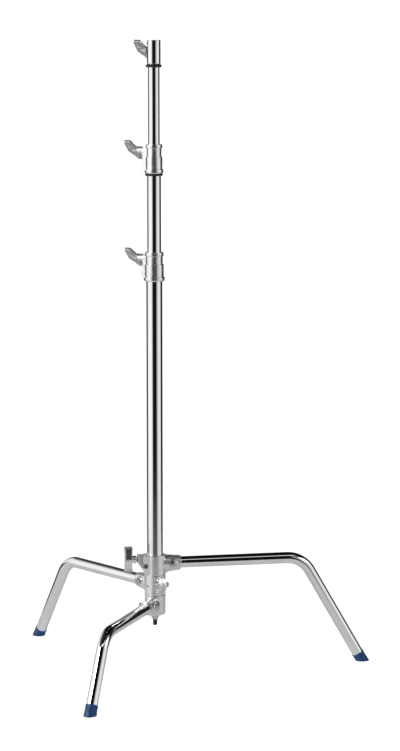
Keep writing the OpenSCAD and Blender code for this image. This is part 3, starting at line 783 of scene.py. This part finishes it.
def grip(side):
    """Inlay with a diamond-cut face, let into one arm of the handle."""
    across_n, along_n, pitch, depth = 33, 64, 1.5, 0.5
    points, faces = [], []
    for layer in (0, 1):
        for j in range(along_n + 1):
            for i in range(across_n + 1):
                x, h = -6.15 + 12.3 * i / across_n, -11.95 + 23.9 * j / along_n
                rim = min(i, across_n - i, j, along_n - j) < 2
                wave = max(abs(math.sin(math.pi * (x + h) / pitch)),
                           abs(math.sin(math.pi * (x - h) / pitch)))
                cut = 0.0 if rim else depth * wave ** 3
                y = 6.35 if layer == 0 else 7.45 - cut
                points.append((GRIP_MID + x, side * y, side * GRIP_Z + h))
    row, size = across_n + 1, (across_n + 1) * (along_n + 1)
    for j in range(along_n):
        for i in range(across_n):
            q = [j * row + i, j * row + i + 1, (j + 1) * row + i + 1, (j + 1) * row + i]
            faces += [q[::-1], [size + k for k in q]]
    border = (list(range(row)) + [j * row + row - 1 for j in range(1, along_n + 1)] +
              [along_n * row + i for i in range(row - 2, -1, -1)] +
              [j * row for j in range(along_n - 1, 0, -1)])
    for a, b in zip(border, border[1:] + border[:1]):
        faces.append([a, b, size + b, size + a])
    return points, faces, None


finish(build("t_grips_skin", [grip(1), grip(-1)], handle_place),
       "t_handle", "black_grip", ["t_grips"], 60)
finish(build("t_screw_skin", [thread(T_SCREW_R - 0.02, LINER_R + 4.1, BAR_A + 8, 1.75, 64)],
             outward(azimuth + math.pi, 0, T_Z)), "t_handle", "screw_steel", ["t_screw"], 50)


# ---- collars ----------------------------------------------------------------------------

# Outline of a collar's lug: radius, and height from the collar's top.
LUG = [(0, -4), (20, -4), (25, -7), (26, -16), (26.5, -36), (30.5, -40), (31.7, -45),
       (30.5, -51), (26, -58), (22, -60), (0, -60)]
LUG_T, BOSS_END, BOSS_R = 14.4, 42.0, 7.5
NECK_RISE = 36.5  # from a collar's foot to its upper, narrower part


def collar(name, node, body, tube_d, riser_d):
    """Turned steps with softened edges, and a cast lug that carries the clamp screw."""
    z, top = low(node), high(node)
    neck_z, outer, neck_r = z + NECK_RISE, tube_d / 2, riser_d / 2
    loop = [(outer + FIT, z), (outer + 3.8, z), (outer + 5.2, z + 2, 0.8), (outer + 5.2, z + 8, 0.8),
            (outer + 4.2, z + 9, 0.5), (outer + 3.1, z + 9, 0.5), (outer + 3.1, neck_z - 0.8, 0.5),
            (outer + 2.3, neck_z, 0.4), (neck_r + 3.6, neck_z, 0.5),
            (neck_r + 3.6, neck_z + 17, 0.4), (neck_r + 4.7, neck_z + 17, 0.5),
            (neck_r + 5.4, neck_z + 17.8, 0.6), (neck_r + 5.4, top - 0.8, 0.6),
            (neck_r + 4.6, top, 0.4), (neck_r + FIT, top, 0.2), (neck_r + FIT, z + 35.5, 0.1),
            (outer + FIT, z + 35.5, 0.1)]
    ring_skin = build(name, [lathe(loop, 160, 0.3)])
    hole = moved(rod(SCREW_R + FIT, 0, 60, 48, 0), outward(KNOB_AZ, 0, top - KNOB_DROP))
    carve(ring_skin, [hole])
    finish(ring_skin, body, "chromed_collar", [node], 30)
    lug = [prism([(x, top + dz) for x, dz in LUG], LUG_T),
           moved(lathe([(0, 8), (BOSS_R, 8), (BOSS_R, BOSS_END), (0, BOSS_END)], 64, 0.3),
                 shift(0, 0, top - KNOB_DROP) @ Z_TO_X)]
    lug_skin = build(name + "_lug", lug)
    melt(lug_skin, 0.6, 4)
    carve(lug_skin, [block(-5, BOSS_END, -20, 20, z - 5, top + 5)], "INTERSECT")
    carve(lug_skin, [moved(hole, turned(-KNOB_AZ)), rod(neck_r + 3.0, z - 5, top + 5, 96, 0),
                     rod(outer + 2.6, z - 5, neck_z - 1.2, 96, 0)])
    lug_skin.data.transform(turned(KNOB_AZ))
    finish(lug_skin, body, "cast_hub", (), 40)


collar("lower_collar_skin", "lower_collar", "column", COLUMN_D, LOWER_RISER_D)
collar("upper_collar_skin", "upper_collar", "lower_riser", LOWER_RISER_D, UPPER_RISER_D)

z, r = low("collar_stop"), LOWER_RISER_D / 2 + FIT
stop = [(r, z), (r + 3.4, z, 1.2), (r + 4.45, z + 1.6, 1), (r + 4.45, z + 3.1, 1),
        (r + 3.4, z + 4.7, 1.2), (r, z + 4.7)]
finish(build("collar_stop_skin", [lathe(stop, 128, 0.2)]),
       "lower_riser", "black_rubber", ["collar_stop"])
z, r = low("receiver_stop"), UPPER_RISER_D / 2 + FIT
stop = [(r, z), (r + 3.2, z, 1), (r + 4.6, z + 1.2, 1), (r + 4.9, z + 2.4, 1),
        (r + 4.4, z + 3.8, 1), (r + 2.2, z + 7, 0.6), (r, z + 7)]
finish(build("receiver_stop_skin", [lathe(stop, 128, 0.2)]),
       "upper_riser", "black_rubber", ["receiver_stop"])

# Receiver at the top: turned socket with a bored mouth.
top, bore_r, bore_depth = high("receiver"), 8.05, 46
seat_z, RECEIVER_R = top - 50.5, 29.5 / 2
plug_r = UPPER_RISER_D / 2 - WALL - FIT
receiver = build("receiver_skin", [lathe([
    (0, seat_z - 26), (plug_r - 1, seat_z - 26), (plug_r, seat_z - 25), (plug_r, seat_z, 0.1),
    (RECEIVER_R - 0.6, seat_z), (RECEIVER_R, seat_z + 0.6), (RECEIVER_R, top - 1.0, 0.8),
    (RECEIVER_R - 1.0, top, 0.8), (bore_r + 0.9, top, 0.3), (bore_r, top - 1.0, 0.3),
    (bore_r, top - bore_depth, 0.2), (0, top - bore_depth)], 160, 0.4)])
carve(receiver, [moved(rod(SCREW_R + FIT, 4, 30, 48, 0),
                       outward(KNOB_AZ, 0, top - TOP_KNOB_DROP))])
finish(receiver, "upper_riser", "chromed_tube", ["receiver"], 30)


# ---- wing knobs -------------------------------------------------------------------------

HOLLOW_R, HOLLOW_DEPTH = 22.0, 0.9
WING_T = 5.6
WING_A, TOP_WING_A = 44.5, 18.5  # radii where the wings start


def wing_knob(name, node, body, wing_a, knob_z):
    """Cast wings that swell towards a round hub, with a finger hollow in every face."""
    half = 31.0  # half the span of the wings
    rise, notch = [], -0.3  # below the notch one wing is cut back
    for t in [i / 12 for i in range(-12, 13)]:
        cut_back = min(5.0, (notch - t) * 33) if t < notch else 0
        rise.append((23 - 5.5 * t * t - cut_back, half * t * (1 - 0.04 * t * t)))
    blade = rise + [(16.5, half), (3, half), (0.5, half - 2.5), (0, 18), (-1, 8), (-1, -8),
                    (0, -18), (0.5, 2.5 - half), (3, -half), (11.5, -half)]
    swell = [(1, -14), (8, -19), (17, -13), (21, 0), (17, 13), (8, 19), (1, 14), (-1.5, 0)]
    shells = [prism(blade, WING_T), prism(swell, 8.6), moved(rod(7.6, -2, 9), Z_TO_X),
              moved(rod(7.4, 8, 23, 64, 2.0, 4.6), Z_TO_X)]
    knob = build(name, shells)
    melt(knob, 0.6, 6)
    carve(knob, [block(-2, 24, -15, 15, -half, half)], "INTERSECT")
    carve(knob, [moved(rod(SCREW_R, -4, 9, 48, 0), Z_TO_X)])
    ball = [(HOLLOW_R * math.sin(math.pi * i / 48), -HOLLOW_R * math.cos(math.pi * i / 48))
            for i in range(49)]
    ball_y = WING_T / 2 - HOLLOW_DEPTH + HOLLOW_R
    carve(knob, [moved(lathe(ball, 96, 0), shift(x, s * ball_y, along))
                 for x, along in ((10, 20), (7.5, -20)) for s in (-1, 1)])
    place = (turned(KNOB_AZ) @ shift(wing_a * MM, 0, knob_z * MM) @
             Matrix.Rotation(-WING_TURN, 4, "X"))
    knob.data.transform(place)
    finish(knob, body, "cast_knob", [node], 40)


wing_knob("lower_knob_skin", "lower_knob", "lower_clamp_knob", WING_A,
          high("lower_collar") - KNOB_DROP)
wing_knob("upper_knob_skin", "upper_knob", "upper_clamp_knob", WING_A,
          high("upper_collar") - KNOB_DROP)
wing_knob("top_knob_skin", "top_knob", "top_clamp_knob", TOP_WING_A,
          high("receiver") - TOP_KNOB_DROP)


# ---- CAD nodes that stay ----------------------------------------------------------------

KEPT = {
    "column_plug": "black_plastic", "lower_guide": "black_plastic", "upper_guide": "black_plastic",
    "liner": "white_plastic", "lower_shoe": "brass", "upper_shoe": "brass", "top_tip": "brass",
    "brake_shoe": "brass", "lower_screw": "screw_steel", "upper_screw": "screw_steel",
    "top_screw": "screw_steel",
}
for node, material in KEPT.items():
    obj = frame["nodes"][node]
    obj.data.materials.clear()
    obj.data.materials.append(MATERIALS[material])


# ---- stage: floor, light and camera ------------------------------------------------------

FLOOR_RINGS = (0.35, 0.8, 0.98)  # metres; the last one is the floor's rim
FLOOR_GLOW = 0.13  # emission that every ray sees
FLOOR_LIFT = 0.70  # added to it for the camera, so that the floor looks as white as the backdrop


def make_floor():
    """Pale round floor under the stand."""
    seg, rings = 128, FLOOR_RINGS
    mesh = bpy.data.meshes.new("floor")
    points = [(0, 0, 0)] + [(r * math.cos(TAU * k / seg), r * math.sin(TAU * k / seg), 0)
                            for r in rings for k in range(seg)]
    faces = [[0, 1 + k, 1 + (k + 1) % seg] for k in range(seg)]
    for i in range(len(rings) - 1):
        a, b = 1 + i * seg, 1 + (i + 1) * seg
        faces += [[a + k, b + k, b + (k + 1) % seg, a + (k + 1) % seg] for k in range(seg)]
    mesh.from_pydata(points, [], faces)
    floor = bpy.data.objects.new("floor", mesh)
    bpy.context.scene.collection.objects.link(floor)
    mat = surface("floor_paper", colour=(0.90, 0.90, 0.90), metallic=0.0, rough=(0.6, 0.7),
                  mottle=0.006, mottle_scale=20, grain=(300, 2e-5))
    shader = mat.node_tree.nodes["Principled BSDF"]
    shader.inputs["Emission Color"].default_value = (1, 1, 1, 1)
    seen = mat.node_tree.nodes.new("ShaderNodeLightPath").outputs["Is Camera Ray"]
    lift = mat.node_tree.nodes.new("ShaderNodeMath")
    lift.operation = "MULTIPLY_ADD"
    lift.inputs[1].default_value = FLOOR_LIFT
    lift.inputs[2].default_value = FLOOR_GLOW
    mat.node_tree.links.new(seen, lift.inputs[0])
    mat.node_tree.links.new(lift.outputs["Value"], shader.inputs["Emission Strength"])
    shader.inputs["Specular IOR Level"].default_value = 0.1
    mesh.materials.append(mat)


# The studio, in degrees. Azimuth 0 is behind the camera, 90 is the stand's +X side and -90 its
# -X side; elevation 0 is the horizon. Each row of stops is (degrees, brightness or share).
# side walls, dark behind the camera and behind the stand
AROUND = ((-180, 0.01), (-156, 0.01), (-148, 0.30), (-138, 0.76), (-104, 0.88), (-60, 0.95),
          (-44, 0.86), (-36, 0.74), (-28, 0.54), (-23, 0.01), (28, 0.004), (33, 0.22), (48, 0.58),
          (64, 0.75), (82, 0.80), (97, 0.78), (103, 0.02), (179.9, 0.01))
# a dark flag before the far part of the -X wall, up to just above the horizon
FLAG = ((-180, 1), (-152, 1), (-146, 0.04), (-108, 0.04), (-103, 1), (179.9, 1))
ABOVE_FLAG = ((-90, 0), (2, 0), (6, 1), (90, 1))
# the walls end in a dark ceiling
CEILING = ((-90, 1.0), (32, 1.0), (42, 0.05), (90, 0.02))
# a strip of lamps high up behind the camera
STRIP_ACROSS = ((-180, 0), (-32, 0), (-26, 1), (56, 1), (64, 0), (179.9, 0))
STRIP_UP = ((-90, 0), (48, 0), (50.5, 0.95), (56.5, 0.95), (59, 0), (90, 0))
# a low grey wall behind the stand
WALL_ACROSS = ((-180, 0.45), (-150, 0.40), (-146, 0), (150, 0), (172, 0.02), (179.9, 0.45))
WALL_UP = ((-90, 1), (10, 1), (22, 0), (90, 0))
# the studio's far floor: all that lies lower than this is dimmed, then lifted a little
FLOOR_DIM = ((-90, 0.75), (-11.6, 0.75), (-10.8, 1), (90, 1))
FLOOR_ADDED = ((-90, 0.09), (-11.6, 0.09), (-10.8, 0), (90, 0))
WORLD_STRENGTH = 1.06


def make_world():
    """The studio above as mirrors see it, and plain white as the camera sees it."""
    world = bpy.data.worlds.new("studio")
    bpy.context.scene.world = world
    world.use_nodes = True
    tree = world.node_tree
    nodes, link = tree.nodes, tree.links.new
    nodes.clear()
    out = nodes.new("ShaderNodeOutputWorld")
    back = nodes.new("ShaderNodeBackground")
    place = nodes.new("ShaderNodeTexCoord")
    parts = nodes.new("ShaderNodeSeparateXYZ")
    link(place.outputs["Generated"], parts.inputs["Vector"])

    def math_node(operation, a, b=None, c=None):
        node = nodes.new("ShaderNodeMath")
        node.operation = operation
        for socket, value in zip(node.inputs, (a, b, c)):
            if value is None:
                continue
            if isinstance(value, (int, float)):
                socket.default_value = value
            else:
                link(value, socket)
        return node.outputs["Value"]

    def ramp(source, stops):
        node = nodes.new("ShaderNodeValToRGB")
        link(source, node.inputs["Fac"])
        elements = node.color_ramp.elements
        while len(elements) > 1:
            elements.remove(elements[-1])
        elements[0].position, elements[0].color = stops[0][0], (stops[0][1],) * 3 + (1,)
        for position, value in stops[1:]:
            elements.new(position).color = (value,) * 3 + (1,)
        return node.outputs["Color"]

    forward = math_node("MULTIPLY", parts.outputs["Y"], -1.0)
    angle = math_node("ARCTAN2", parts.outputs["X"], forward)
    turn = math_node("MULTIPLY_ADD", angle, 1 / TAU, 0.5)
    rise = math_node("MULTIPLY_ADD", math_node("ARCSINE", parts.outputs["Z"]), 1 / math.pi, 0.5)

    def across_ramp(stops):
        return ramp(turn, [(degrees / 360 + 0.5, value) for degrees, value in stops])

    def up_ramp(stops):
        return ramp(rise, [(degrees / 180 + 0.5, value) for degrees, value in stops])

    shade = math_node("MAXIMUM", across_ramp(FLAG), up_ramp(ABOVE_FLAG))
    room = math_node("MULTIPLY", math_node("MULTIPLY", across_ramp(AROUND), shade), up_ramp(CEILING))
    lamp_strip = math_node("MULTIPLY", across_ramp(STRIP_ACROSS), up_ramp(STRIP_UP))
    wall = math_node("MULTIPLY", across_ramp(WALL_ACROSS), up_ramp(WALL_UP))
    studio = math_node("MAXIMUM", room, math_node("MAXIMUM", lamp_strip, wall))
    studio = math_node("MULTIPLY_ADD", studio, up_ramp(FLOOR_DIM), up_ramp(FLOOR_ADDED))
    seen = nodes.new("ShaderNodeLightPath").outputs["Is Camera Ray"]
    link(math_node("MAXIMUM", studio, seen), back.inputs["Color"])
    back.inputs["Strength"].default_value = WORLD_STRENGTH
    link(back.outputs["Background"], out.inputs["Surface"])


LAMP_DISTANCE, LAMP_SIZE, LAMP_ELEVATION = 3.2, (1.5, 0.9), 22
LAMP_AIM = Vector((0, 0, 0.7))


def soft_light(name, azimuth, power):
    """Area lamp that the camera doesn't see. azimuth is as in the studio, power is in watts."""
    data = bpy.data.lights.new(name, "AREA")
    data.shape = "RECTANGLE"
    data.size, data.size_y = LAMP_SIZE
    data.energy = power
    lamp = bpy.data.objects.new(name, data)
    a, e = math.radians(azimuth), math.radians(LAMP_ELEVATION)
    way = Vector((math.sin(a) * math.cos(e), -math.cos(a) * math.cos(e), math.sin(e)))
    lamp.location = LAMP_AIM + LAMP_DISTANCE * way
    lamp.rotation_mode = "QUATERNION"
    lamp.rotation_quaternion = (LAMP_AIM - lamp.location).to_track_quat("-Z", "Y")
    lamp.visible_camera = False
    bpy.context.scene.collection.objects.link(lamp)


make_floor()
make_world()
soft_light("soft_left", -58, 46)
soft_light("soft_right", 72, 10)

# The camera fitted to the photo.
camera_data = bpy.data.cameras.new("camera")
camera_data.lens, camera_data.sensor_width = 122.24, 36.0
camera_data.clip_start, camera_data.clip_end = 0.1, 100
camera = bpy.data.objects.new("camera", camera_data)
camera.location = (0.100, -5.50, 1.443)
camera.rotation_euler = (math.radians(81.89), 0, 0)
camera_data.shift_x = -0.0005
bpy.context.scene.collection.objects.link(camera)
bpy.context.scene.camera = camera
bpy.context.scene.view_settings.view_transform = "Standard"
bpy.context.scene.view_settings.look = "None"
